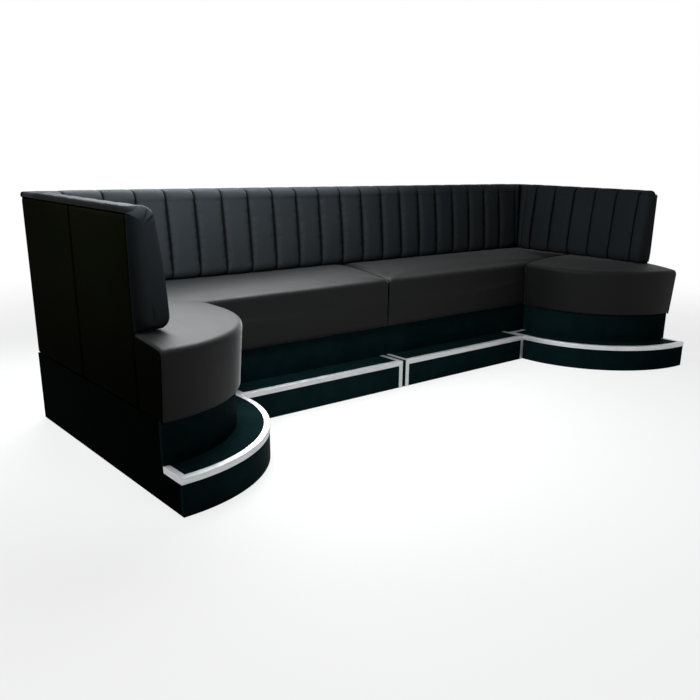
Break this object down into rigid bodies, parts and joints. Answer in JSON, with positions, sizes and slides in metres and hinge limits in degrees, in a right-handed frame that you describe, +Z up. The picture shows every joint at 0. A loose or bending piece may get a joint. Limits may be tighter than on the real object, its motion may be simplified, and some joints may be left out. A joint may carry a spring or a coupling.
{
  "type": "banquette",
  "caption": "U-shaped padded banquette of straight run and two rounded wings, channelled high back, toe kick and low step edged with metal angle.",
  "frame": {"origin": "on the floor, in the middle of the space that the banquette covers", "axes": "+X along the wall to the right of someone who faces it, +Y towards the wall, +Z up"},
  "size_m": [3.59, 1.456, 1.1],
  "materials": {
    "seat_leather": "black-brown grained leather, semi matt",
    "back_leather": "black grained leather in sewn channels, semi matt",
    "side_leather": "black grained leather stretched on a panel",
    "black_laminate": "satin black laminate on plywood",
    "aluminium_trim": "brushed anodised",
    "plywood": "raw plywood",
    "timber": "planed softwood",
    "foam": "open-cell foam",
    "rear_cloth": "black dust cloth over a thin board",
    "steel": "zinc plated",
    "black_plastic": "moulded"
  },
  "bodies": {
    "root": {"end_trims_left": "aluminium_trim", "end_trims_right": "aluminium_trim", "glide_pads": "black_plastic", "module_bolts": "steel", "run_back_frame_left": "timber", "run_back_frame_right": "timber", "run_back_pad_left": "back_leather", "run_back_pad_right": "back_leather", "run_base_frame_left": "plywood", "run_base_frame_right": "plywood", "run_base_side_left": "black_laminate", "run_base_side_right": "black_laminate", "run_fascia_left": "black_laminate", "run_fascia_right": "black_laminate", "run_front_trim_left": "aluminium_trim", "run_front_trim_right": "aluminium_trim", "run_rear_panel_left": "rear_cloth", "run_rear_panel_right": "rear_cloth", "run_seat_cover_left": "seat_leather", "run_seat_cover_right": "seat_leather", "run_seat_deck_left": "plywood", "run_seat_deck_right": "plywood", "run_seat_foam_left": "foam", "run_seat_foam_right": "foam", "run_seat_frame_left": "plywood", "run_seat_frame_right": "plywood", "run_side_pad_left": "back_leather", "run_side_pad_right": "back_leather", "run_side_panel_left": "side_leather", "run_side_panel_right": "side_leather", "run_toe_kick_left": "black_laminate", "run_toe_kick_right": "black_laminate", "run_tread_left": "black_laminate", "run_tread_right": "black_laminate", "wing_back_frame_left": "timber", "wing_back_frame_right": "timber", "wing_back_pad_left": "back_leather", "wing_back_pad_right": "back_leather", "wing_base_frame_left": "plywood", "wing_base_frame_right": "plywood", "wing_base_side_left": "black_laminate", "wing_base_side_right": "black_laminate", "wing_fascia_left": "black_laminate", "wing_fascia_right": "black_laminate", "wing_front_trim_left": "aluminium_trim", "wing_front_trim_right": "aluminium_trim", "wing_seat_cover_left": "seat_leather", "wing_seat_cover_right": "seat_leather", "wing_seat_deck_left": "plywood", "wing_seat_deck_right": "plywood", "wing_seat_foam_left": "foam", "wing_seat_foam_right": "foam", "wing_seat_frame_left": "plywood", "wing_seat_frame_right": "plywood", "wing_side_panel_left": "side_leather", "wing_side_panel_right": "side_leather", "wing_toe_kick_left": "black_laminate", "wing_toe_kick_right": "black_laminate", "wing_tread_left": "black_laminate", "wing_tread_right": "black_laminate"}
  },
  "joints": []
}
